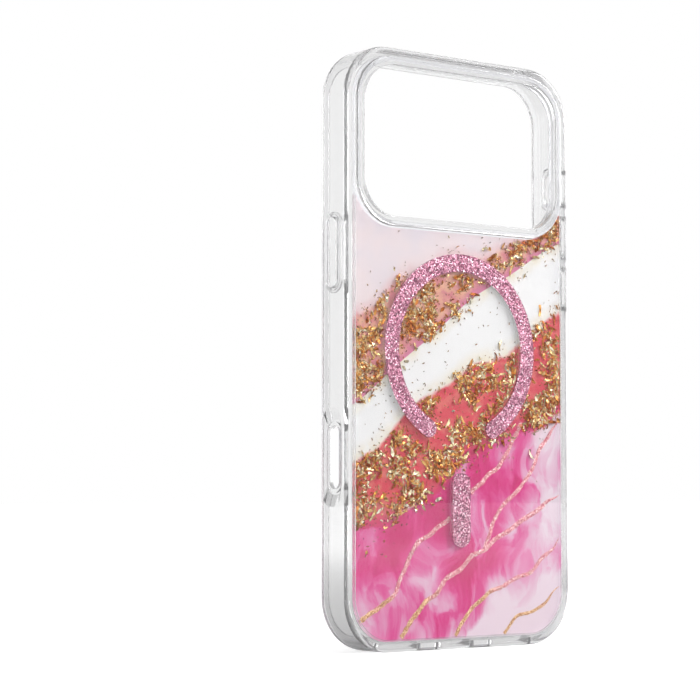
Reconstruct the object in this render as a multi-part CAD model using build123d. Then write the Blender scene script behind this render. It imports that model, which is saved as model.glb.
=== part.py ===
from build123d import *
from math import cos, degrees, radians, sin
import os

# A clear phone case with a printed back and a built-in magnet ring, for a large camera phone.
# It stands on its bottom edge: +Z points to the camera end, +Y to the screen side, and +X is
# the right-hand side seen from behind. The origin is the middle of the bottom of the bounding
# box, and every size is in millimetres.

# The phone that the case is moulded to hold
PHONE_WIDTH = 78.0
PHONE_HEIGHT = 163.4
PHONE_DEPTH = 8.75
PHONE_CORNER = 12.8
PHONE_CLEARANCE = 0.1

# Soft frame around the phone
SIDE_WALL = 2.1
LIP_DEPTH = 1.25
LIP_OVERHANG = 1.6
BACK_EDGE_ROUND = 1.4
FRONT_EDGE_ROUND = 1.6
LIP_EDGE_ROUND = 0.4

# Hard clear back plate, held by a tongue that the frame is moulded around
PLATE_RIM = 1.3
TONGUE_REACH = 0.8
TONGUE_DEPTH = 0.7
FILM_DEPTH = 0.12
LINER_DEPTH = 0.38
FILM_RIM = 0.8
PRINT_HORN = 7.8

# Camera opening, placed from the sides and top of the phone, and the raised guard around it
OPENING_FROM_SIDE = 3.8
OPENING_BELOW_TOP = 3.1
OPENING_HEIGHT = 42.2
OPENING_CORNER = 10.5
GUARD_RISE = 1.3
GUARD_BAND = 2.8
GUARD_LINING = 1.3
GUARD_OUTER_ROUND = 1.0
GUARD_INNER_ROUND = 0.4
PRINT_TO_GUARD = 0.2

# Magnet ring and alignment bar, let into the inner face of the back plate
RING_TO_GUARD = 6.2
RING_OUTER_RADIUS = 27.5
RING_BAND = 5.0
RING_END_ANGLE = 27.8
BAR_BELOW_RING = 45.0
BAR_WIDTH = 6.5
BAR_LENGTH = 21.0
CARRIER_COVER = 0.4
CARRIER_SKIN = 0.2
CARRIER_WALL = 0.45
MAGNET_DEPTH = 0.8
ADHESIVE_DEPTH = 0.1
MAGNET_COUNT = 30
MAGNET_GAP = 0.25
MAGNET_END_MARGIN = 2.2
MAGNET_CLEARANCE = 0.05

# Buttons: a pad in a window of the side wall, with a flange behind the wall. Each is placed
# from the top of the phone to its middle.
PAD_WIDTH = 4.6
PAD_PROUD = 0.3
PAD_GROOVE = 0.7
PAD_EDGE_ROUND = 0.45
FLANGE_LAP = 0.5
FLANGE_DEPTH = 0.5
FLANGE_POCKET = 1.1
FLANGE_CLEARANCE = 0.15
BUTTON_REST_GAP = 0.05
POWER_WINDOW = 21.2
POWER_BELOW_TOP = 55.9
ACTION_WINDOW = 11.4
ACTION_BELOW_TOP = 31.8
VOLUME_WINDOW = 13.2
VOLUME_UP_BELOW_TOP = 46.4
VOLUME_DOWN_BELOW_TOP = 61.6

# Camera-control cut-out, with a raised rim on the floor of a thumb scoop in the left wall
CONTROL_LENGTH = 17.4
CONTROL_WIDTH = 4.4
CONTROL_RIM = 1.1
CONTROL_RIM_HEIGHT = 0.55
CONTROL_BELOW_TOP = 112.2
SCOOP_LENGTH = 27.0
SCOOP_WIDTH = 7.9
SCOOP_FLOOR_DEPTH = 0.75
SCOOP_FLOOR_MARGIN = 0.45

# Charging port and speaker cut-outs in the bottom wall
PORT_WIDTH = 13.6
PORT_DEPTH = 6.6
SPEAKER_WIDTH = 16.0
SPEAKER_DEPTH = 4.8
SPEAKER_OFFSET = 20.5

# How far a cutting tool runs past the face that it cuts
OVERCUT = 1.0

# Worked-out sizes
CAVITY_WIDTH = PHONE_WIDTH + 2 * PHONE_CLEARANCE
CAVITY_HEIGHT = PHONE_HEIGHT + 2 * PHONE_CLEARANCE
CASE_WIDTH = CAVITY_WIDTH + 2 * SIDE_WALL
CASE_HEIGHT = CAVITY_HEIGHT + 2 * SIDE_WALL
CASE_CORNER = PHONE_CORNER + PHONE_CLEARANCE + SIDE_WALL
PLATE_DEPTH = CARRIER_COVER + CARRIER_SKIN + MAGNET_DEPTH + ADHESIVE_DEPTH
BACK_DEPTH = PLATE_DEPTH + FILM_DEPTH + LINER_DEPTH
CASE_DEPTH = BACK_DEPTH + PHONE_DEPTH + PHONE_CLEARANCE + LIP_DEPTH

# Levels along Y, from the crest of the camera guard to the front of the lip
CREST_Y = -(CASE_DEPTH + GUARD_RISE) / 2
BACK_Y = CREST_Y + GUARD_RISE
PLATE_INNER_Y = BACK_Y + PLATE_DEPTH
TONGUE_Y = PLATE_INNER_Y - TONGUE_DEPTH
FILM_INNER_Y = PLATE_INNER_Y + FILM_DEPTH
FLOOR_Y = BACK_Y + BACK_DEPTH
PHONE_MID_Y = FLOOR_Y + PHONE_DEPTH / 2
LIP_Y = FLOOR_Y + PHONE_DEPTH + PHONE_CLEARANCE
FRONT_Y = LIP_Y + LIP_DEPTH

# Insets from the outline of the case
PLATE_INSET = SIDE_WALL + PLATE_RIM
TONGUE_INSET = PLATE_INSET - TONGUE_REACH
FILM_INSET = SIDE_WALL + FILM_RIM
LIP_INSET = SIDE_WALL + LIP_OVERHANG

# The camera opening, and the heights of its guard's lowest point, the ring and the bar
PHONE_TOP_Z = CASE_HEIGHT - SIDE_WALL - PHONE_CLEARANCE
OPENING_WIDTH = PHONE_WIDTH - 2 * OPENING_FROM_SIDE
OPENING_CENTRE_Z = PHONE_TOP_Z - OPENING_BELOW_TOP - OPENING_HEIGHT / 2
GUARD_BOTTOM_Z = OPENING_CENTRE_Z - OPENING_HEIGHT / 2 - GUARD_BAND
RING_CENTRE_Z = GUARD_BOTTOM_Z - RING_TO_GUARD - RING_OUTER_RADIUS
BAR_CENTRE_Z = RING_CENTRE_Z - BAR_BELOW_RING

# Levels in the pockets of the plate: each carrier's skin, its magnets and the adhesive film
CARRIER_OUTER_Y = BACK_Y + CARRIER_COVER
MAGNET_OUTER_Y = CARRIER_OUTER_Y + CARRIER_SKIN
CARRIER_INNER_Y = MAGNET_OUTER_Y + MAGNET_DEPTH
RING_MIDDLE_RADIUS = RING_OUTER_RADIUS - RING_BAND / 2

WINDOW_WIDTH = PAD_WIDTH + 2 * PAD_GROOVE


def slab(sketch, near_y, far_y):
    """A plate with the outline of a sketch drawn in X and Z, between two levels along Y."""
    return extrude(Plane.XZ.offset(-near_y) * sketch, near_y - far_y)


def rounded(width, height, corner):
    """A rectangle with round corners, or square ones where there is no room for a round."""
    return RectangleRounded(width, height, corner) if corner > 0 else Rectangle(width, height)


def case_outline(inset):
    """The outline of the case, drawn in by an inset."""
    width = CASE_WIDTH - 2 * inset
    height = CASE_HEIGHT - 2 * inset
    return Pos(0, CASE_HEIGHT / 2) * rounded(width, height, CASE_CORNER - inset)


def opening_outline(outset):
    """The outline of the camera opening, let out by an outset."""
    width = OPENING_WIDTH + 2 * outset
    height = OPENING_HEIGHT + 2 * outset
    return Pos(0, OPENING_CENTRE_Z) * rounded(width, height, OPENING_CORNER + outset)


def stadium(length, width):
    """A slot shape along local X: straight sides with half-round ends."""
    return SlotOverall(length, width)


def on_side(side):
    """A plane on the outer face of a side wall (-1 left, +1 right): its X runs up the case, its
    normal points out of the wall, and its origin is level with the middle of the phone's side."""
    origin = (side * CASE_WIDTH / 2, PHONE_MID_Y, 0)
    return Plane(origin=origin, x_dir=(0, 0, 1), z_dir=(side, 0, 0))


def side_prism(side, height, sketch, low, high):
    """A prism on a side wall, from low to high above its outer face, centred at a height."""
    plane = on_side(side).offset(low)
    return extrude(plane * Pos(height, 0) * sketch, high - low)


def loops_at(solid, axis, last):
    """The edges of a solid at its lowest or highest level along an axis."""
    return solid.edges().group_by(axis)[-1 if last else 0]


class Button:
    """The sizes and place of one button and of the window that it fits."""

    def __init__(self, side, window_length, below_top):
        self.side = side
        self.height = PHONE_TOP_Z - below_top
        self.window_length = window_length
        self.pad_length = window_length - 2 * PAD_GROOVE
        self.flange_length = window_length + 2 * FLANGE_LAP
        self.flange_width = WINDOW_WIDTH + 2 * FLANGE_LAP

    def cutter(self):
        """The window through the wall, and the wider pocket behind it for the flange."""
        window = stadium(self.window_length, WINDOW_WIDTH)
        pocket = stadium(
            self.flange_length + 2 * FLANGE_CLEARANCE,
            self.flange_width + 2 * FLANGE_CLEARANCE,
        )
        ceiling = FLANGE_POCKET - SIDE_WALL
        through = side_prism(self.side, self.height, window, -SIDE_WALL, OVERCUT)
        behind = side_prism(self.side, self.height, pocket, -SIDE_WALL - OVERCUT, ceiling)
        return through + behind

    def solid(self):
        """The pad, with rounded edges, on its flange."""
        flange_top = FLANGE_POCKET - SIDE_WALL - BUTTON_REST_GAP
        flange_outline = stadium(self.flange_length, self.flange_width)
        pad_outline = stadium(self.pad_length, PAD_WIDTH)
        flange = side_prism(
            self.side, self.height, flange_outline, flange_top - FLANGE_DEPTH, flange_top
        )
        pad = side_prism(self.side, self.height, pad_outline, flange_top, PAD_PROUD)
        crown = loops_at(pad, Axis.X, last=self.side > 0)
        pad = fillet(crown, min(PAD_EDGE_ROUND, (PAD_PROUD - flange_top) / 2))
        return flange + pad


BUTTONS = {
    "power_button": Button(-1, POWER_WINDOW, POWER_BELOW_TOP),
    "action_button": Button(1, ACTION_WINDOW, ACTION_BELOW_TOP),
    "volume_up_button": Button(1, VOLUME_WINDOW, VOLUME_UP_BELOW_TOP),
    "volume_down_button": Button(1, VOLUME_WINDOW, VOLUME_DOWN_BELOW_TOP),
}


def control_cutter():
    """The thumb scoop, which narrows to a flat floor but leaves a raised rim on it, and the slot
    through the rim and the floor."""
    height = PHONE_TOP_Z - CONTROL_BELOW_TOP
    rim_length = CONTROL_LENGTH + 2 * CONTROL_RIM
    rim_width = CONTROL_WIDTH + 2 * CONTROL_RIM
    corner = rim_width / 2
    floor_level = SCOOP_FLOOR_DEPTH - SIDE_WALL
    floor_outline = rounded(
        rim_length + 2 * SCOOP_FLOOR_MARGIN, rim_width + 2 * SCOOP_FLOOR_MARGIN, corner
    )
    mouth_outline = rounded(SCOOP_LENGTH, SCOOP_WIDTH, corner)
    floor = on_side(-1).offset(floor_level) * Pos(height, 0) * floor_outline
    mouth = on_side(-1) * Pos(height, 0) * mouth_outline
    scoop = loft([floor.face(), mouth.face()])
    rim = side_prism(
        -1, height, stadium(rim_length, rim_width), floor_level, floor_level + CONTROL_RIM_HEIGHT
    )
    above = side_prism(-1, height, mouth_outline, 0, OVERCUT)
    slot = stadium(CONTROL_LENGTH, CONTROL_WIDTH)
    through = side_prism(-1, height, slot, -SIDE_WALL - OVERCUT, OVERCUT)
    return scoop - rim + above + through


def bottom_cutters():
    """The charging port and the two speaker slots, through the bottom wall."""
    plane = Plane(origin=(0, PHONE_MID_Y, -OVERCUT), x_dir=(1, 0, 0), z_dir=(0, 0, 1))
    depth = SIDE_WALL + 2 * OVERCUT
    port = extrude(plane * stadium(PORT_WIDTH, PORT_DEPTH), depth)
    speaker = extrude(plane * stadium(SPEAKER_WIDTH, SPEAKER_DEPTH), depth)
    return [port, Pos(-SPEAKER_OFFSET, 0, 0) * speaker, Pos(SPEAKER_OFFSET, 0, 0) * speaker]


def bumper_frame():
    """The soft frame: four side walls, the lip around the screen and the rim around the plate."""
    frame = slab(case_outline(0), BACK_Y, FRONT_Y)
    frame = fillet(loops_at(frame, Axis.Y, last=False), min(BACK_EDGE_ROUND, SIDE_WALL))
    frame = fillet(loops_at(frame, Axis.Y, last=True), min(FRONT_EDGE_ROUND, SIDE_WALL))
    mouth = slab(case_outline(LIP_INSET), LIP_Y, FRONT_Y + OVERCUT)
    frame = cut_with_round_edge(frame, mouth, min(LIP_EDGE_ROUND, LIP_DEPTH / 2), last=True)
    frame -= slab(case_outline(SIDE_WALL), FLOOR_Y, LIP_Y)
    frame -= slab(case_outline(FILM_INSET), PLATE_INNER_Y, FLOOR_Y)
    frame -= slab(case_outline(TONGUE_INSET), TONGUE_Y, PLATE_INNER_Y)
    frame -= slab(case_outline(PLATE_INSET), BACK_Y - OVERCUT, TONGUE_Y)
    cutters = [button.cutter() for button in BUTTONS.values()]
    for cutter in cutters + [control_cutter()] + bottom_cutters():
        frame -= cutter
    return frame


def cut_with_round_edge(solid, cutter, radius, last):
    """A solid with a cutter taken out, and the new edge rounded where it meets the outside."""
    result = solid - cutter
    edges = new_edges(solid, cutter, combined=result)
    return fillet(edges.group_by(Axis.Y)[-1 if last else 0], radius)


def carrier_outline(shrink):
    """The C-shaped outline of the magnet ring with its round ends, drawn in by a shrink."""
    half_band = RING_BAND / 2 - shrink
    start = -90 + RING_END_ANGLE
    sweep_angle = 360 - 2 * RING_END_ANGLE
    outline = ring_sector(
        RING_MIDDLE_RADIUS - half_band, RING_MIDDLE_RADIUS + half_band, start, sweep_angle
    )
    for angle in (start, start + sweep_angle):
        end = Pos(RING_MIDDLE_RADIUS * cos(radians(angle)), RING_MIDDLE_RADIUS * sin(radians(angle)))
        outline += end * Circle(half_band)
    return Pos(0, RING_CENTRE_Z) * outline


def ring_sector(inner, outer, start, size):
    """Part of a flat ring about the local origin, from a start angle over a size in degrees."""
    outside = CenterArc((0, 0), outer, start, size)
    inside = CenterArc((0, 0), inner, start, size)
    sides = [Line(outside @ 0, inside @ 0), Line(outside @ 1, inside @ 1)]
    return make_face([outside, inside] + sides)


def bar_outline(shrink):
    """The outline of the alignment bar, drawn in by a shrink."""
    bar = Rot(0, 0, 90) * stadium(BAR_LENGTH - 2 * shrink, BAR_WIDTH - 2 * shrink)
    return Pos(0, BAR_CENTRE_Z) * bar


def carrier(outline):
    """A glitter-filled carrier: a shallow trough, open to the inside, that holds magnets."""
    block = slab(outline(0), CARRIER_OUTER_Y, CARRIER_INNER_Y)
    trough = slab(outline(CARRIER_WALL), MAGNET_OUTER_Y, CARRIER_INNER_Y)
    return block - trough


def back_plate():
    """The hard clear plate, with a tongue around its edge and pockets for the two carriers."""
    plate = slab(case_outline(PLATE_INSET), BACK_Y, PLATE_INNER_Y)
    plate += slab(case_outline(TONGUE_INSET), TONGUE_Y, PLATE_INNER_Y)
    plate -= slab(opening_outline(GUARD_LINING), BACK_Y, PLATE_INNER_Y)
    for outline in (carrier_outline, bar_outline):
        plate -= slab(outline(0), CARRIER_OUTER_Y, PLATE_INNER_Y)
    return plate


def camera_guard():
    """The guard: a lining through the opening under a raised ring with a rounded crest."""
    guard = slab(opening_outline(GUARD_BAND), CREST_Y, BACK_Y)
    guard = fillet(loops_at(guard, Axis.Y, last=False), min(GUARD_OUTER_ROUND, 0.9 * GUARD_RISE))
    guard += slab(opening_outline(GUARD_LINING), BACK_Y, FLOOR_Y)
    opening = slab(opening_outline(0), CREST_Y - OVERCUT, FLOOR_Y + OVERCUT)
    return cut_with_round_edge(guard, opening, min(GUARD_INNER_ROUND, GUARD_RISE / 2), last=False)


def print_film():
    """The printed film: the back below the guard, with a horn up each side of its corners."""
    top = GUARD_BOTTOM_Z + PRINT_HORN
    below = Pos(0, top / 2) * Rectangle(CASE_WIDTH, top)
    outline = (case_outline(FILM_INSET) & below) - opening_outline(GUARD_BAND + PRINT_TO_GUARD)
    return slab(outline, PLATE_INNER_Y, FILM_INNER_Y)


def inner_liner():
    """The clear sheet that the phone lies on."""
    outline = case_outline(FILM_INSET) - opening_outline(GUARD_LINING)
    return slab(outline, FILM_INNER_Y, FLOOR_Y)


def ring_magnets():
    """The magnets of the ring, evenly spaced in the trough of its carrier."""
    half_band = RING_BAND / 2 - CARRIER_WALL - MAGNET_CLEARANCE
    gap_angle = degrees(MAGNET_GAP / RING_MIDDLE_RADIUS)
    end_angle = RING_END_ANGLE + degrees(MAGNET_END_MARGIN / RING_MIDDLE_RADIUS) - gap_angle / 2
    pitch = (360 - 2 * end_angle) / MAGNET_COUNT
    for number in range(MAGNET_COUNT):
        start = -90 + end_angle + number * pitch + gap_angle / 2
        outline = ring_sector(
            RING_MIDDLE_RADIUS - half_band,
            RING_MIDDLE_RADIUS + half_band,
            start,
            pitch - gap_angle,
        )
        outline = Pos(0, RING_CENTRE_Z) * outline
        yield f"ring_magnet_{number + 1:02d}", slab(outline, MAGNET_OUTER_Y, CARRIER_INNER_Y)


parts = {
    "bumper_frame": bumper_frame(),
    "back_plate": back_plate(),
    "camera_guard": camera_guard(),
    "print_film": print_film(),
    "inner_liner": inner_liner(),
    "glitter_ring": carrier(carrier_outline),
    "glitter_bar": carrier(bar_outline),
    "ring_adhesive": slab(carrier_outline(0), CARRIER_INNER_Y, PLATE_INNER_Y),
    "bar_adhesive": slab(bar_outline(0), CARRIER_INNER_Y, PLATE_INNER_Y),
    "bar_magnet": slab(
        bar_outline(CARRIER_WALL + MAGNET_CLEARANCE), MAGNET_OUTER_Y, CARRIER_INNER_Y
    ),
}
parts.update(ring_magnets())
parts.update({name: button.solid() for name, button in BUTTONS.items()})

os.makedirs("parts", exist_ok=True)
for name, shape in parts.items():
    export_step(shape, f"parts/{name}.step")
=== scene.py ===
import math
import random

import bpy
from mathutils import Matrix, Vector, noise


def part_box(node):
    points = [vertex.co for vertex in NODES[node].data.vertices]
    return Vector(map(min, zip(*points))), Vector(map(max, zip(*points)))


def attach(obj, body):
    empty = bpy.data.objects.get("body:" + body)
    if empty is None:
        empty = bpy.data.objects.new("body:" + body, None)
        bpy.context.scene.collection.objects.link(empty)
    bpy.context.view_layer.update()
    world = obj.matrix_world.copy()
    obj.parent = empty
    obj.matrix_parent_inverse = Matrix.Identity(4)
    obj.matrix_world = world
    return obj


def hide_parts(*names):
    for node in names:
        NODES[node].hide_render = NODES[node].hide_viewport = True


# Looks for a clear phone case with a marble and gold-foil print, a glitter magnet ring and bar,
# and a raised camera guard. Lengths on the case and the camera's place are in millimetres and
# become Blender's metres through MM. Lamps, floor and the camera's near and far limits are given
# in metres.

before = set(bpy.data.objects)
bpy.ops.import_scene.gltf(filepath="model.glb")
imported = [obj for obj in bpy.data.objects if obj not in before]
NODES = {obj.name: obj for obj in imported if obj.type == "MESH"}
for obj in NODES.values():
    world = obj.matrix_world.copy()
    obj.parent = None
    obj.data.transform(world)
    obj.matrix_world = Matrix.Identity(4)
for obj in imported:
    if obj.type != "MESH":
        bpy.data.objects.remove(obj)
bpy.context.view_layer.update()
MM = 0.001


def box_mm(node):
    """The lowest and highest corner of a CAD node, in millimetres."""
    low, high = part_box(node)
    return Vector(low) / MM, Vector(high) / MM


# --------------------------------------------------------------------------------------------
# Camera
# --------------------------------------------------------------------------------------------

# Place and lens in millimetres, heading and tilt in degrees
CAMERA_PLACE = (-398.1, -477.0, 44.07)
CAMERA_HEADING = -37.228
CAMERA_TILT_UP = 3.711
CAMERA_LENS = 112.1


def add_camera():
    """The camera at the view of the main picture."""
    data = bpy.data.cameras.new("camera")
    data.lens = CAMERA_LENS
    data.sensor_width = 36
    data.clip_start = 0.01
    data.clip_end = 50
    camera = bpy.data.objects.new("camera", data)
    camera.location = Vector(CAMERA_PLACE) * MM
    camera.rotation_euler = (
        math.radians(90 + CAMERA_TILT_UP),
        0,
        math.radians(CAMERA_HEADING),
    )
    bpy.context.scene.collection.objects.link(camera)
    bpy.context.scene.camera = camera


# --------------------------------------------------------------------------------------------
# Shader helpers
# --------------------------------------------------------------------------------------------


class Nodes:
    """Short ways to add and link nodes in a node tree."""

    def __init__(self, tree):
        self.tree = tree

    def add(self, kind, inputs=None, **settings):
        """A node with some of its settings and inputs. An input is a value or a socket."""
        node = self.tree.nodes.new(kind)
        for key, value in settings.items():
            setattr(node, key, value)
        for key, value in (inputs or {}).items():
            self.put(node.inputs[key], value)
        return node

    def put(self, socket, value):
        """Links a socket to another, or sets its value."""
        if isinstance(value, bpy.types.NodeSocket):
            self.tree.links.new(value, socket)
        elif isinstance(value, tuple) and len(value) == 3 and len(socket.default_value) == 4:
            socket.default_value = (*value, 1)
        else:
            socket.default_value = value

    def math(self, operation, a, b=0.0, c=0.0):
        """A Math node. MULTIPLY_ADD gives a * b + c."""
        return self.add("ShaderNodeMath", {0: a, 1: b, 2: c}, operation=operation).outputs[0]

    def between(self, value, low, high):
        """0 below low, 1 above high, and smooth between them. Where low is the higher of the two,
        it falls from 1 to 0 instead."""
        node = self.add(
            "ShaderNodeMapRange",
            {"Value": value, "From Min": low, "From Max": high},
            interpolation_type="SMOOTHSTEP",
        )
        return node.outputs[0]

    def mix(self, share, a, b):
        """Colour a, turned to colour b by a share."""
        node = self.add("ShaderNodeMix", data_type="RGBA")

        # The node's colour sockets are inputs 6 and 7 and output 2
        self.put(node.inputs[0], share)
        self.put(node.inputs[6], a)
        self.put(node.inputs[7], b)
        return node.outputs[2]

    def ramp(self, value, stops, interpolation="LINEAR"):
        """A colour ramp. stops is a list of (place, colour)."""
        node = self.add("ShaderNodeValToRGB", {0: value})
        node.color_ramp.interpolation = interpolation
        elements = node.color_ramp.elements
        while len(elements) < len(stops):
            elements.new(0.5)
        for element, (place, colour) in zip(elements, stops):
            element.position = place
            element.color = (*colour, 1)
        return node.outputs[0]

    def millimetres(self):
        """The point on the surface, in millimetres in the case's frame."""
        coordinates = self.add("ShaderNodeTexCoord")
        node = self.add(
            "ShaderNodeVectorMath", {0: coordinates.outputs["Object"]}, operation="SCALE"
        )
        node.inputs["Scale"].default_value = 1 / MM
        return node.outputs[0]

    def noise(self, vector, size, detail=3.0, rough=0.5):
        """Soft noise whose blobs are about size millimetres across."""
        inputs = {"Vector": vector, "Scale": 1 / size, "Detail": detail, "Roughness": rough}
        return self.add("ShaderNodeTexNoise", inputs).outputs

    def cells(self, vector, size, random_share=1.0):
        """Voronoi cells about size millimetres across."""
        inputs = {"Vector": vector, "Scale": 1 / size, "Randomness": random_share}
        return self.add("ShaderNodeTexVoronoi", inputs).outputs

    def facets(self, vector, size):
        """A random tone from 0 to 1 for each cell, with soft joins between the cells."""
        inputs = {"Vector": vector, "Scale": 1 / size, "Smoothness": 0.25}
        node = self.add("ShaderNodeTexVoronoi", inputs, feature="SMOOTH_F1")
        return self.add("ShaderNodeSeparateColor", {0: node.outputs["Color"]}).outputs[0]


class Shader(Nodes):
    """A new material and its nodes."""

    def __init__(self, name):
        self.material = bpy.data.materials.new(name)
        self.material.use_nodes = True
        super().__init__(self.material.node_tree)
        self.tree.nodes.clear()
        self.out = self.add("ShaderNodeOutputMaterial")

    def surface(self, shader):
        """Shows the shader on the material, and gives the material back."""
        self.put(self.out.inputs["Surface"], shader)
        return self.material

    def principled(self, **inputs):
        """A Principled shader. Underscores in a name stand for spaces."""
        names = {key.replace("_", " "): value for key, value in inputs.items()}
        return self.add("ShaderNodeBsdfPrincipled", names)

    def clear_to_lamps(self, shader, tint):
        """The shader, but lamps shine through it onto what lies behind."""
        path = self.add("ShaderNodeLightPath")
        open_side = self.add("ShaderNodeBsdfTransparent", {"Color": tint})
        node = self.add(
            "ShaderNodeMixShader",
            {0: path.outputs["Is Shadow Ray"], 1: shader, 2: open_side.outputs[0]},
        )
        return node.outputs[0]


def srgb(red, green, blue):
    """A colour given as 0 to 255, as Blender's linear colour."""

    def linear(level):
        level /= 255
        return level / 12.92 if level <= 0.04045 else ((level + 0.055) / 1.055) ** 2.4

    return (linear(red), linear(green), linear(blue))


def paint(material, *nodes):
    """Gives CAD nodes or pieces one material."""
    for node in nodes:
        piece = NODES[node] if isinstance(node, str) else node
        piece.data.materials.clear()
        piece.data.materials.append(material)


# --------------------------------------------------------------------------------------------
# Clear plastics
# --------------------------------------------------------------------------------------------


def soft_clear():
    """Clear soft plastic: a trace of milk in it, and greyer the further light goes through it."""
    s = Shader("clear_soft_plastic")
    handled = s.between(s.noise(s.millimetres(), 12.0, detail=2.0)[0], 0.35, 0.75)
    plastic = s.principled(
        Base_Color=srgb(244, 244, 244),
        Roughness=s.math("MULTIPLY_ADD", handled, 0.05, 0.02),
        IOR=1.47,
        Transmission_Weight=0.9,
    )
    depth = s.add("ShaderNodeVolumeAbsorption", {"Color": srgb(188, 186, 190), "Density": 20.0})
    s.put(s.out.inputs["Volume"], depth.outputs[0])
    return s.surface(s.clear_to_lamps(plastic.outputs[0], srgb(250, 250, 252)))


def hard_clear():
    """Polished clear plastic."""
    s = Shader("clear_hard_plastic")
    waves = s.noise(s.millimetres(), 30.0, detail=1.0)[0]
    bump = s.add("ShaderNodeBump", {"Height": waves, "Strength": 0.02, "Distance": 0.2 * MM})
    plastic = s.principled(
        Base_Color=srgb(253, 253, 254),
        Roughness=0.01,
        IOR=1.49,
        Transmission_Weight=1.0,
        Normal=bump.outputs[0],
    )
    return s.surface(s.clear_to_lamps(plastic.outputs[0], srgb(254, 254, 254)))


# --------------------------------------------------------------------------------------------
# The print: bands of foil on coral, a white band, and pink marble below
# --------------------------------------------------------------------------------------------


class Edge:
    """A wavy line across the print, from its height at the middle and its slope. Each wave has
    its size, its length over two pi, and its phase."""

    def __init__(self, height, slope, waves):
        self.height = height
        self.slope = slope
        self.waves = waves

    def at(self, x):
        """The height of the line at x."""
        z = self.height + self.slope * x
        return z + sum(size * math.sin(x / length + phase) for size, length, phase in self.waves)

    def above(self, s, x, z):
        """A socket with how far a point lies above the line."""
        line = s.math("MULTIPLY_ADD", x, self.slope, self.height)
        for size, length, phase in self.waves:
            wave = s.math("SINE", s.math("MULTIPLY_ADD", x, 1 / length, phase))
            line = s.math("MULTIPLY_ADD", wave, size, line)
        return s.math("SUBTRACT", z, line)


# The edges of the bands, from the lowest up
MARBLE_TOP = Edge(49.5, 0.50, [(2.2, 8.0, 0.4), (0.8, 3.1, 1.0)])
LOWER_FOIL_TOP = Edge(75.5, 0.58, [(2.0, 10.0, 2.3), (0.9, 3.7, 0.2)])
UPPER_FOIL_BASE = Edge(94.0, 0.64, [(1.6, 13.0, 1.2), (0.4, 4.3, 0.5)])
UPPER_FOIL_TOP = Edge(109.0, 0.40, [(2.4, 9.0, 3.0), (1.0, 3.3, 2.0)])

# Colours of the bands, and tones of the marble from hot pink to pale
WHITE = srgb(252, 252, 251)
CREAM = srgb(246, 236, 212)
LAVENDER = srgb(239, 229, 234)
BLUSH = srgb(247, 232, 233)
CORAL = srgb(228, 70, 90)
CORAL_LIGHT = srgb(236, 122, 116)
MAGENTA = srgb(218, 44, 112)
SALMON = srgb(224, 138, 148)
PEACH = srgb(240, 184, 156)
ORCHID = srgb(220, 128, 166)
ROSE_HAZE = srgb(242, 212, 214)
MARBLE = [
    (0.24, srgb(214, 24, 116)), (0.38, srgb(226, 48, 136)), (0.48, srgb(231, 82, 156)),
    (0.56, srgb(234, 124, 178)), (0.64, srgb(236, 162, 199)), (0.74, srgb(238, 196, 217)),
    (0.90, srgb(244, 224, 234)),
]

# How strongly the edges of the bands are frayed, in millimetres, and how much of the print the
# white backing ink lets through
FRAY = 5.0
SHOW_THROUGH = 0.16


def shifted(s, level, value, share):
    """The level, moved up or down by a share of a 0 to 1 value."""
    return s.math("MULTIPLY_ADD", s.math("SUBTRACT", value, 0.5), share, level)


def displaced(s, point, size, reach, detail):
    """The point, moved about in X and Z by up to some millimetres."""
    drift = s.noise(point, size, detail=detail, rough=0.6)[1]
    drift = s.add("ShaderNodeVectorMath", {0: drift, 1: (0.5, 0.5, 0.5)}, operation="SUBTRACT")
    return s.add(
        "ShaderNodeVectorMath",
        {0: drift.outputs[0], 1: (reach, 0.0, reach), 2: point},
        operation="MULTIPLY_ADD",
    ).outputs[0]


def marble(s, point, x, z):
    """Pink marble in brushed facets: hot pink in the middle, paler to the right and at the foot."""
    drifted = displaced(s, point, size=20.0, reach=20.0, detail=1.0)
    frayed = displaced(s, drifted, size=2.2, reach=3.0, detail=3.0)
    strokes = s.add(
        "ShaderNodeMapping",
        {"Vector": frayed, "Rotation": (0, math.radians(30), 0), "Scale": (1.0, 1.0, 0.5)},
    ).outputs[0]
    broad = s.facets(strokes, size=7.5)
    small = s.facets(strokes, size=2.6)
    hairs = s.add("ShaderNodeMapping", {"Vector": drifted, "Scale": (1.0, 1.0, 0.22)}).outputs[0]
    wisps = s.noise(hairs, 1.5, detail=3.0, rough=0.6)[0]
    to_the_right = s.between(s.math("MULTIPLY_ADD", z, -0.35, x), 0.0, 14.0)
    to_the_foot = s.between(z, 30.0, 8.0)
    level = s.math("MULTIPLY_ADD", to_the_right, 0.38, 0.37)
    level = s.math("MULTIPLY_ADD", to_the_foot, 0.30, level)
    level = shifted(s, level, s.noise(drifted, 15.0, detail=1.0)[0], 0.9)
    level = shifted(s, level, broad, 0.30)
    level = shifted(s, level, small, 0.14)
    level = shifted(s, level, wisps, 0.25)
    return s.ramp(level, MARBLE)


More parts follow.
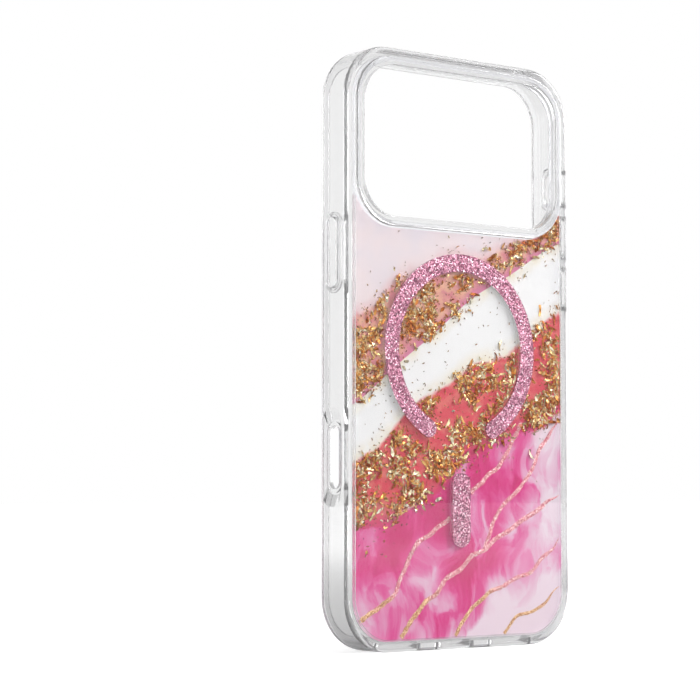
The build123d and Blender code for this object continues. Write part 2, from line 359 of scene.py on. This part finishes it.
def printed_front(s, point, x, z):
    """The colour of the printed side."""
    warp = s.noise(point, 5.0, detail=4.0, rough=0.6)[0]
    ragged = s.math("MULTIPLY", s.math("SUBTRACT", warp, 0.5), FRAY)
    soft = s.noise(point, 14.0, detail=2.0)[0]
    patch = s.noise(point, 3.2, detail=3.0, rough=0.6)[0]

    over_marble = s.math("ADD", MARBLE_TOP.above(s, x, z), ragged)
    over_lower = s.math("ADD", LOWER_FOIL_TOP.above(s, x, z), ragged)
    over_base = UPPER_FOIL_BASE.above(s, x, z)
    over_upper = s.math("ADD", UPPER_FOIL_TOP.above(s, x, z), ragged)

    coral = s.mix(s.between(patch, 0.4, 0.7), CORAL, CORAL_LIGHT)
    coral = s.mix(s.between(over_marble, 6.0, 0.0), coral, MAGENTA)
    salmon = s.mix(s.between(patch, 0.35, 0.65), SALMON, PEACH)
    salmon = s.mix(s.between(over_base, 4.0, 0.0), salmon, ORCHID)
    white_haze = s.math("MAXIMUM", s.between(over_lower, 6.0, 0.0), s.between(over_base, -5.0, 0.0))
    white = s.mix(s.math("MULTIPLY", white_haze, s.between(warp, 0.3, 0.7)), WHITE, CREAM)
    lavender = s.mix(s.between(soft, 0.35, 0.65), LAVENDER, BLUSH)
    lavender = s.mix(s.between(over_upper, 5.0, 0.5), lavender, ROSE_HAZE)

    colour = marble(s, point, x, z)
    colour = s.mix(s.between(over_marble, -0.6, 0.6), colour, coral)
    colour = s.mix(s.between(over_lower, -1.0, 1.0), colour, white)
    colour = s.mix(s.between(over_base, -0.15, 0.15), colour, salmon)
    return s.mix(s.between(over_upper, -1.2, 1.2), colour, lavender)


def print_material():
    """The printed film: the pattern towards the plate, and white backing ink inside the case."""
    s = Shader("printed_film")
    point = s.millimetres()
    axes = s.add("ShaderNodeSeparateXYZ", {0: point})
    x, z = axes.outputs["X"], axes.outputs["Z"]
    front = printed_front(s, point, x, z)
    normal = s.add("ShaderNodeNewGeometry").outputs["True Normal"]
    facing = s.add("ShaderNodeSeparateXYZ", {0: normal})
    inside = s.math("GREATER_THAN", facing.outputs["Y"], 0.5)
    backing = s.mix(s.noise(point, 0.6, detail=2.0)[0], srgb(243, 238, 241), srgb(248, 245, 247))
    backing = s.mix(SHOW_THROUGH, backing, front)
    ink = s.principled(
        Base_Color=s.mix(inside, front, backing),
        Roughness=s.math("MULTIPLY_ADD", s.noise(point, 1.5)[0], 0.15, 0.35),
        Specular_IOR_Level=0.1,
    )
    return s.surface(ink.outputs[0])


# --------------------------------------------------------------------------------------------
# Glitter, foil and metal
# --------------------------------------------------------------------------------------------


# Glitter: the size of its coarse and fine grains in millimetres, and how strongly they lean
COARSE_GRAIN = 0.33
FINE_GRAIN = 0.22
GLITTER_TILT = 0.6


def glitter(name, grain, colour_of):
    """Glitter in clear resin: every grain has its own colour and tilt."""
    s = Shader(name)
    grains = s.cells(s.millimetres(), grain)
    parts = s.add("ShaderNodeSeparateColor", {0: grains["Color"]})
    tilt = s.add(
        "ShaderNodeVectorMath", {0: grains["Color"], 1: (0.5, 0.5, 0.5)}, operation="SUBTRACT"
    )
    normal = s.add("ShaderNodeNewGeometry").outputs["Normal"]
    leaning = s.add(
        "ShaderNodeVectorMath",
        {0: tilt.outputs[0], 1: (GLITTER_TILT,) * 3, 2: normal},
        operation="MULTIPLY_ADD",
    )
    leaning = s.add("ShaderNodeVectorMath", {0: leaning.outputs[0]}, operation="NORMALIZE")
    flakes = s.principled(
        Base_Color=colour_of(s, parts.outputs[0]),
        Metallic=0.35,
        Roughness=s.math("MULTIPLY_ADD", parts.outputs[1], 0.25, 0.25),
        Normal=leaning.outputs[0],
    )
    return s.surface(flakes.outputs[0])


# Tones of the grains and scraps, by a random number of their own
PINK_GLITTER = [
    (0.00, srgb(120, 50, 82)), (0.12, srgb(153, 71, 106)), (0.30, srgb(180, 96, 127)),
    (0.55, srgb(198, 125, 151)), (0.80, srgb(223, 162, 185)), (0.93, srgb(252, 224, 234)),
]
ROSE_GLITTER = [
    (0.00, srgb(222, 112, 132)), (0.18, srgb(236, 142, 154)), (0.45, srgb(243, 168, 176)),
    (0.72, srgb(248, 198, 200)), (0.90, srgb(255, 242, 238)),
]
GOLD_GLITTER = [
    (0.00, srgb(196, 138, 96)), (0.25, srgb(226, 170, 120)), (0.55, srgb(240, 196, 150)),
    (0.85, srgb(255, 230, 188)),
]
GOLD = [
    (0.0, srgb(176, 88, 44)), (0.15, srgb(220, 132, 62)), (0.4, srgb(242, 178, 98)),
    (0.6, srgb(252, 212, 142)), (0.8, srgb(255, 236, 188)), (1.0, srgb(255, 250, 226)),
]
# Tones of the dust: a darker gold than the leaf, partly the specks' own grey-brown and partly
# painted shade for thin scraps lying in shadow
SHADED_DUST_GOLD = [
    (0.0, srgb(128, 88, 62)), (0.4, srgb(184, 122, 76)), (0.75, srgb(224, 162, 98)),
    (1.0, srgb(252, 222, 164)),
]


def pink_glitter():
    """The coarse glitter of the magnet carriers."""

    def colour(s, tone):
        return s.ramp(tone, PINK_GLITTER, "CONSTANT")

    return glitter("pink_glitter", COARSE_GRAIN, colour)


def vein_glitter():
    """The fine glitter of the veins: rose, and gold towards the foot."""

    def colour(s, tone):
        point = s.millimetres()
        height = s.add("ShaderNodeSeparateXYZ", {0: point}).outputs["Z"]
        height = s.math("MULTIPLY_ADD", s.noise(point, 5.0)[0], 24.0, height)
        rose = s.ramp(tone, ROSE_GLITTER, "CONSTANT")
        gold = s.ramp(tone, GOLD_GLITTER, "CONSTANT")
        return s.mix(s.between(height, 34.0, 22.0), rose, gold)

    return glitter("vein_glitter", FINE_GRAIN, colour)


def gold_foil(name, stops):
    """Crumpled gold leaf, with its own tone for each scrap."""
    s = Shader(name)
    island = s.add("ShaderNodeNewGeometry").outputs["Random Per Island"]
    colour = s.ramp(island, stops)
    creases = s.noise(s.millimetres(), 0.35, detail=2.0)[0]
    bump = s.add("ShaderNodeBump", {"Height": creases, "Strength": 0.5, "Distance": 0.05 * MM})
    foil = s.principled(Base_Color=colour, Metallic=0.72, Roughness=0.2, Normal=bump.outputs[0])
    return s.surface(foil.outputs[0])


def magnet_metal():
    """Nickel-plated magnets with faint polishing marks."""
    s = Shader("magnet_nickel")
    marks = s.noise(s.millimetres(), 0.5, detail=3.0)[0]
    metal = s.principled(
        Base_Color=srgb(196, 197, 200),
        Metallic=1.0,
        Roughness=s.math("MULTIPLY_ADD", marks, 0.2, 0.2),
    )
    return s.surface(metal.outputs[0])


def adhesive():
    """Milky adhesive film."""
    s = Shader("adhesive_film")
    cloud = s.noise(s.millimetres(), 2.0)[0]
    film = s.principled(
        Base_Color=s.mix(cloud, srgb(232, 230, 222), srgb(240, 239, 234)), Roughness=0.6
    )
    return s.surface(film.outputs[0])


def liner_sheet():
    """Clear sheet with a fine matt surface."""
    s = Shader("clear_sheet")
    point = s.millimetres()
    dots = s.cells(point, 0.9, random_share=0.0)
    bump = s.add(
        "ShaderNodeBump",
        {"Height": s.between(dots["Distance"], 0.5, 0.2), "Strength": 0.3, "Distance": 0.05 * MM},
    )
    sheet = s.principled(
        Base_Color=srgb(250, 250, 252),
        Roughness=0.22,
        IOR=1.49,
        Transmission_Weight=0.95,
        Normal=bump.outputs[0],
    )
    return s.surface(s.clear_to_lamps(sheet.outputs[0], srgb(252, 252, 254)))


# --------------------------------------------------------------------------------------------
# Foil flakes and veins, cast into the inner face of the back plate
# --------------------------------------------------------------------------------------------

PLATE_HIGH = box_mm("back_plate")[1]
RING_LOW, RING_HIGH = box_mm("glitter_ring")
BAR_LOW, BAR_HIGH = box_mm("glitter_bar")
PRINT_LOW, PRINT_HIGH = box_mm("print_film")
GUARD_LOW, GUARD_HIGH = box_mm("camera_guard")
RING_RADIUS = (RING_HIGH.x - RING_LOW.x) / 2
RING_CENTRE = RING_HIGH.z - RING_RADIUS

# As on the part: the width of the ring's band, the angle from straight down to the ends of the
# band, and the outer corners of the print and the guard
RING_BAND = 5.0
RING_END_ANGLE = 27.8
PRINT_CORNER = 12.1
GUARD_CORNER = 13.3

# How far foil and veins keep from the edges of the print and from the carriers, and how deep
# below the inner face of the plate they lie
FLAKE_CLEARANCE = 0.12
FOIL_DEPTH = 0.06

# Scraps of foil: how many are tried, the lowest height of one, the share that is dust, how much
# of the leaf is kept, how far both spill over the edges of the bands, the most that leaf measures,
# and how thick a scrap is
FOIL_TRIES = 90000
FOIL_LOWEST = 25.0
DUST_SHARE = 0.35
LEAF_SHARE = 0.42
DUST_SPILL = 3.2
LEAF_SPILL = 1.3
LONGEST_LEAF = 3.4
WIDEST_LEAF = 0.95
FOIL_THICKNESS = 0.02

# How foil gathers in clumps: their size, the levels from which it grows denser in and outside the
# bands, how steeply it does so in a band, the least and the most of it there, and how steeply it
# does so at the edge of a band
CLUMP_SIZE = 8.0
LEVEL_IN_BAND = 0.41
LEVEL_OUTSIDE = 0.25
STEEPNESS_IN_BAND = 4.0
LEAST_IN_BAND = 0.05
MOST_IN_UPPER = 1.0
MOST_IN_LOWER = 0.75
STEEPNESS_OUTSIDE = 0.45

# A scrap of foil: the steps along it, the spread of its turn from end to end in radians and of
# the slope across it, and the most that a row of its points is lifted for each millimetre of it
SHARD_STEPS = 3
SHARD_CURL = 1.1
SHARD_SLOPE = 0.55
SHARD_LIFT = 0.07


def in_rounded(x, z, low, high, corner, margin):
    """True inside a round-cornered box in X and Z, drawn in by a margin."""
    cx, cz = (low.x + high.x) / 2, (low.z + high.z) / 2
    dx = abs(x - cx) - ((high.x - low.x) / 2 - corner)
    dz = abs(z - cz) - ((high.z - low.z) / 2 - corner)
    outside = math.hypot(max(dx, 0), max(dz, 0)) + min(max(dx, dz), 0)
    return outside < corner - margin


def by_carrier(x, z, margin):
    """True on the magnet ring or bar, or within a margin of them."""
    radius = math.hypot(x, z - RING_CENTRE)
    angle = math.degrees(math.atan2(abs(x), RING_CENTRE - z))
    middle = RING_RADIUS - RING_BAND / 2
    if angle > RING_END_ANGLE:
        near = abs(radius - middle)
    else:
        end = math.radians(RING_END_ANGLE)
        near = math.hypot(abs(x) - middle * math.sin(end), z - RING_CENTRE + middle * math.cos(end))
    half = (BAR_HIGH.x - BAR_LOW.x) / 2
    dz = max(BAR_LOW.z + half - z, z - BAR_HIGH.z + half, 0)
    return near < RING_BAND / 2 + margin or math.hypot(x, dz) < half + margin


def on_print(x, z, margin):
    """True over the print, clear of its edges, of the guard and of the carriers."""
    low, high = PRINT_LOW, Vector((PRINT_HIGH.x, 0, PLATE_HIGH.z))
    return (
        in_rounded(x, z, low, high, PRINT_CORNER, margin)
        and not in_rounded(x, z, GUARD_LOW, GUARD_HIGH, GUARD_CORNER, -margin)
        and z < PRINT_HIGH.z - margin
        and not by_carrier(x, z, margin)
    )


class Strips:
    """Many thin closed strips of foil, joined in one mesh."""

    def __init__(self):
        self.points = []
        self.faces = []

    def add(self, rows, thickness):
        """A strip through rows of (x, y, z) points, each row as long as the next, thickened
        towards the print."""
        base, across, count = len(self.points), len(rows[0]), len(rows) * len(rows[0])
        front = [point for row in rows for point in row]
        self.points += front + [(x, y + thickness, z) for x, y, z in front]

        # The front and the back of the strip
        for r in range(len(rows) - 1):
            for c in range(across - 1):
                i = base + r * across + c
                self.faces.append((i, i + 1, i + across + 1, i + across))
                i += count
                self.faces.append((i, i + across, i + across + 1, i + 1))

        # The points around its rim, in turn, and the wall that joins front and back there
        rim = list(range(across - 1))
        rim += [r * across + across - 1 for r in range(len(rows) - 1)]
        rim += [count - 1 - c for c in range(across - 1)]
        rim += [r * across for r in range(len(rows) - 1, 0, -1)]
        for i, j in zip(rim, rim[1:] + rim[:1]):
            self.faces.append((base + j, base + i, base + count + i, base + count + j))

    def build(self, name, material, slot):
        """Makes the mesh, as a piece that moves with the case."""
        mesh = bpy.data.meshes.new(name)
        mesh.from_pydata([Vector(p) * MM for p in self.points], [], self.faces)
        mesh.materials.append(material)
        piece = bpy.data.objects.new(name, mesh)
        bpy.context.scene.collection.objects.link(piece)
        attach(piece, "case")


def shard(rng, x, z, length, width, top):
    """Rows of points for one curled, ragged scrap of foil."""
    heading = rng.uniform(0, 2 * math.pi)
    curl = rng.gauss(0, SHARD_CURL)
    rows = []
    for i in range(SHARD_STEPS + 1):
        along = i / SHARD_STEPS
        turn = heading + curl * (along - 0.5)
        half = 0.5 * width * (math.sin(math.pi * (0.16 + 0.72 * along)) + rng.uniform(-0.3, 0.2))
        lift = rng.uniform(-SHARD_LIFT, SHARD_LIFT) * min(length, 1.5)
        lean = rng.gauss(0, SHARD_SLOPE)
        side = (-math.sin(turn) * half, math.cos(turn) * half)
        rows.append([
            (x - side[0], lift - lean * half, z - side[1]),
            (x + side[0], lift + lean * half, z + side[1]),
        ])
        x += math.cos(turn) * length / SHARD_STEPS
        z += math.sin(turn) * length / SHARD_STEPS
    deepest = max(y for row in rows for _, y, _ in row)
    return [[(px, top - deepest + y, pz) for px, y, pz in row] for row in rows]


def clump(x, z):
    """About 0 to 1: how strongly foil gathers at a point."""
    return 0.5 + 0.5 * noise.fractal(Vector((x / CLUMP_SIZE, 3.1, z / CLUMP_SIZE)), 0.7, 2.0, 3)


def foil_share(x, z, spill):
    """How much foil lies at a point of the print, from 0 to 1. Outside the bands it thins out
    over a spill in millimetres."""
    upper = min(UPPER_FOIL_TOP.at(x) - z, z - UPPER_FOIL_BASE.at(x))
    lower = min(LOWER_FOIL_TOP.at(x) - z, z - MARBLE_TOP.at(x))
    inside = max(upper, lower)
    gathered = clump(x, z)
    if inside > 0:
        most = MOST_IN_UPPER if upper > 0 else MOST_IN_LOWER
        return max(LEAST_IN_BAND, min(most, STEEPNESS_IN_BAND * (gathered - LEVEL_IN_BAND)))
    return STEEPNESS_OUTSIDE * math.exp(inside / spill) * max(0.0, gathered - LEVEL_OUTSIDE)


def add_foil():
    """Foil, thick in the bands and in smaller scraps along their edges."""
    rng = random.Random(20)
    leaf, dust = Strips(), Strips()
    top = PLATE_HIGH.y - FOIL_DEPTH
    for _ in range(FOIL_TRIES):
        x = rng.uniform(PRINT_LOW.x, PRINT_HIGH.x)
        z = rng.uniform(FOIL_LOWEST, PRINT_HIGH.z)
        length = min(0.6 + rng.expovariate(1.1), LONGEST_LEAF)
        width = min(length * rng.uniform(0.2, 0.55), WIDEST_LEAF)
        kind, share = leaf, LEAF_SHARE * foil_share(x, z, LEAF_SPILL)
        if rng.random() < DUST_SHARE:
            length = 0.3 + 0.6 * rng.random()
            width = 0.14 + 0.22 * rng.random()
            kind, share = dust, foil_share(x, z, DUST_SPILL)
        if rng.random() > share:
            continue
        rows = shard(rng, x, z, length, width, top)
        if all(on_print(px, pz, FLAKE_CLEARANCE) for row in rows for px, _, pz in row):
            kind.add(rows, FOIL_THICKNESS)
    leaf.build("foil_leaf", gold_foil("gold_foil", GOLD), "pink_glitter")
    # The dust takes the darker gold, which is partly painted shade
    dust.build("foil_dust", gold_foil("gold_dust", SHADED_DUST_GOLD), "pink_glitter")


# Veins: the step between their points, how far they wander and how ragged their sides are, the
# steps over which one tapers out, the rise of its middle, its thickness, and how far it goes into
# the foil
VEIN_STEP = 0.5
VEIN_WANDER = 0.9
VEIN_RAGGED = 0.35
VEIN_TAPER = 16
VEIN_CREST = 0.05
VEIN_THICKNESS = 0.03
VEIN_INTO_FOIL = 3.0

# Each vein: its width, and the points that it runs through
VEINS = [
    (
        1.35, (-36.5, 8.5), (-24, 16), (-16.5, 28.5), (-3.5, 37), (5, 44.5), (15, 52), (23, 64),
        (27, 72),
    ),
    (1.4, (-23, 2.5), (-14, 12), (-2.5, 21), (9, 28), (22, 35), (38.5, 43.5)),
    (1.25, (9, 28), (14.5, 38.5), (24.5, 47), (31, 57), (38.5, 66)),
    (1.2, (-3, 2.5), (4, 11), (15, 17), (27, 21.5), (38.5, 31)),
    (1.15, (-38, 36), (-30, 39.5), (-21, 39), (-13, 42.5)),
    (0.95, (15, 2.5), (21, 8), (29.5, 10.5), (38.5, 17)),
]


def curve_points(knots, step):
    """Points about a step apart on a Catmull-Rom curve through the knots."""
    knots = [Vector(knot) for knot in knots]
    knots = [2 * knots[0] - knots[1], *knots, 2 * knots[-1] - knots[-2]]
    for a, b, c, d in zip(knots, knots[1:], knots[2:], knots[3:]):
        count = round((c - b).length / step)
        for t in (i / count for i in range(count)):
            bend = (2 * a - 5 * b + 4 * c - d) * t**2 + (3 * b - a - 3 * c + d) * t**3
            yield b + 0.5 * ((c - a) * t + bend)


def vein_rows(number, width, *knots):
    """Rows of points across a vein, which wanders and swells a little."""
    points = list(curve_points(knots, VEIN_STEP))
    for i, point in enumerate(points[:-1]):
        along = (points[i + 1] - point).normalized()
        side = Vector((-along.y, along.x))
        centre = point + side * VEIN_WANDER * noise.noise(Vector((i / 11, number, 2.0)))
        ragged = 1 + VEIN_RAGGED * noise.noise(Vector((i / 2.6, number, 9.0)))
        half = 0.5 * width * ragged * min(1.0, (len(points) - i) / VEIN_TAPER)
        left, right = centre - side * half, centre + side * half
        yield [(left.x, 0.0, left.y), (centre.x, -VEIN_CREST, centre.y), (right.x, 0.0, right.y)]


def add_veins():
    """Thin ribbons of rose-gold glitter through the marble, parted where a carrier lies on them."""
    veins = Strips()
    top = PLATE_HIGH.y - FOIL_DEPTH - VEIN_THICKNESS
    for number, vein in enumerate(VEINS):
        stretches = [[]]
        for row in vein_rows(number, *vein):
            x, _, z = row[1]
            clear = all(on_print(px, pz, FLAKE_CLEARANCE) for px, _, pz in row)
            if clear and z < MARBLE_TOP.at(x) + VEIN_INTO_FOIL:
                stretches[-1].append([(px, top + y, pz) for px, y, pz in row])
            else:
                stretches.append([])
        for rows in stretches:
            if len(rows) > 2:
                veins.add(rows, VEIN_THICKNESS)
    veins.build("marble_veins", vein_glitter(), "pink_glitter")


# --------------------------------------------------------------------------------------------
# Clear pieces that stand for CAD nodes
# --------------------------------------------------------------------------------------------

# How far a copy is drawn in, the most that a sharp corner may move, and how many times the faces
# at a corner push it in turn
HAIR = 0.02
MOST_SHIFT = 3 * HAIR
PUSHES = 12


def drawn_in(node, name, material):
    """A copy of a CAD node that is smaller by a hair all round, and stands for it. Two clear faces
    in one place would trap the light between them."""
    mesh = NODES[node].data.copy()

    # The directions of the faces that meet at each place, also where its vertices are doubled
    facing = {}
    for face in mesh.polygons:
        for index in face.vertices:
            place = tuple(round(c / MM, 4) for c in mesh.vertices[index].co)
            facing.setdefault(place, []).append(face.normal.copy())
    for vertex in mesh.vertices:
        place = tuple(round(c / MM, 4) for c in vertex.co)
        shift = Vector()
        for _ in range(PUSHES):
            for normal in facing[place]:
                shift -= normal * (HAIR + normal.dot(shift))
        vertex.co += shift * min(1, MOST_SHIFT / max(shift.length, HAIR)) * MM
    piece = bpy.data.objects.new(name, mesh)
    bpy.context.scene.collection.objects.link(piece)
    paint(material, piece)
    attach(piece, "case")
    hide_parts(node)


# --------------------------------------------------------------------------------------------
# Light, floor and picture settings
# --------------------------------------------------------------------------------------------

# The light that the surroundings give. Glass and gloss show them as white, which is 1, less a
# shade of grey far above, far below, and behind the viewer where they are mirrored.
WORLD_LIGHT = 0.64
SHADE_ABOVE = 0.15
SHADE_BELOW = 0.55
SHADE_MIRRORED = 0.55

# The floor: half its side, its grey, the distances from its middle within and beyond which its
# glow is even, and that glow to the eye near the case and far from it
FLOOR_HALF = 6.0
FLOOR_GREY = srgb(214, 214, 214)
FLOOR_NEAR = 0.15
FLOOR_FAR = 1.2
GLOW_NEAR = 0.56
GLOW_FAR = 0.66

# Each lamp: its place, the side of its square, and its power in watts
LAMPS = {
    "key": ((0.86, -0.46, 0.58), 0.42, 6.7),
    "fill": ((-0.70, -0.80, 0.35), 0.7, 1.6),
    "behind": ((-0.30, 0.95, 0.18), 0.5, 2.0),
}
LAMP_AIM = (0, 0, 0.08)


def seen_in_glass(s, path):
    """1 for a ray that carries the picture of the surroundings in glass or gloss, and 0 for one
    that only gathers light."""
    clear = s.math("MAXIMUM", path.outputs["Is Transmission Ray"], path.outputs["Is Glossy Ray"])
    return s.math("MULTIPLY", clear, s.math("LESS_THAN", path.outputs["Diffuse Depth"], 0.5))


def add_world():
    """Plain pale surroundings. The backdrop is white to the eye, and glass and gloss show it
    white at eye level and greyer far above and below. Height and depth are those of a ray's
    direction, from -1 to 1."""
    world = bpy.data.worlds.new("studio")
    world.use_nodes = True
    s = Nodes(world.node_tree)
    background = s.tree.nodes["Background"]
    path = s.add("ShaderNodeLightPath")
    direction = s.add("ShaderNodeTexCoord").outputs["Generated"]
    axes = s.add("ShaderNodeSeparateXYZ", {0: direction})
    height, depth = axes.outputs["Z"], axes.outputs["Y"]
    shown = s.math("MULTIPLY_ADD", s.between(height, 0.35, 0.85), -SHADE_ABOVE, 1.0)
    shown = s.math("MULTIPLY_ADD", s.between(height, -0.35, -0.85), -SHADE_BELOW, shown)
    mirrored = s.math("MULTIPLY", path.outputs["Is Reflection Ray"], s.between(depth, 0.4, -0.6))
    shown = s.math("MULTIPLY_ADD", mirrored, -SHADE_MIRRORED, shown)
    shown = s.math("SUBTRACT", shown, WORLD_LIGHT)
    level = s.math("MULTIPLY_ADD", seen_in_glass(s, path), shown, WORLD_LIGHT)
    s.put(background.inputs["Strength"], s.math("MAXIMUM", level, path.outputs["Is Camera Ray"]))
    background.inputs["Color"].default_value = (1, 1, 1, 1)
    bpy.context.scene.world = world


def add_lamp(name, place, size, power):
    """A square soft box that faces the middle of the case."""
    data = bpy.data.lights.new(name, "AREA")
    data.shape = "SQUARE"
    data.size = size
    data.energy = power
    lamp = bpy.data.objects.new(name, data)
    lamp.location = place
    aim = Vector(LAMP_AIM) - lamp.location
    lamp.rotation_euler = aim.to_track_quat("-Z", "Y").to_euler()
    bpy.context.scene.collection.objects.link(lamp)


def add_floor():
    """A pale floor under the case. It is lifted to white for the eye, and keeps the shadow."""
    mesh = bpy.data.meshes.new("floor")
    corners = [(-1, -1), (1, -1), (1, 1), (-1, 1)]
    mesh.from_pydata([(x * FLOOR_HALF, y * FLOOR_HALF, 0) for x, y in corners], [], [(0, 1, 2, 3)])
    floor = bpy.data.objects.new("floor", mesh)
    bpy.context.scene.collection.objects.link(floor)
    s = Shader("floor")
    path = s.add("ShaderNodeLightPath")
    point = s.add("ShaderNodeTexCoord").outputs["Object"]
    reach = s.add("ShaderNodeVectorMath", {0: point}, operation="LENGTH")
    far = s.between(reach.outputs["Value"], FLOOR_NEAR, FLOOR_FAR)
    in_glass = s.math("MULTIPLY", seen_in_glass(s, path), far)
    seen = s.math("MAXIMUM", path.outputs["Is Camera Ray"], in_glass)
    level = s.math("MULTIPLY_ADD", far, GLOW_FAR - GLOW_NEAR, GLOW_NEAR)
    glow = s.math("MULTIPLY", seen, level)
    plain = s.principled(
        Base_Color=FLOOR_GREY,
        Roughness=0.95,
        Emission_Color=(1.0, 1.0, 1.0, 1.0),
        Emission_Strength=glow,
    )
    mesh.materials.append(s.surface(plain.outputs[0]))


add_camera()
add_world()
add_floor()
for lamp_name, (place, size, power) in LAMPS.items():
    add_lamp(lamp_name, place, size, power)

soft_plastic = soft_clear()
paint(soft_plastic, "bumper_frame", *[node for node in NODES if node.endswith("_button")])
paint(print_material(), "print_film")
paint(pink_glitter(), "glitter_ring", "glitter_bar")
paint(adhesive(), "ring_adhesive", "bar_adhesive")
paint(magnet_metal(), *[node for node in NODES if "magnet" in node])
drawn_in("back_plate", "clear_plate", hard_clear())
drawn_in("camera_guard", "clear_guard", soft_plastic)
drawn_in("inner_liner", "clear_liner", liner_sheet())
add_foil()
add_veins()

bpy.context.scene.view_settings.view_transform = "Standard"
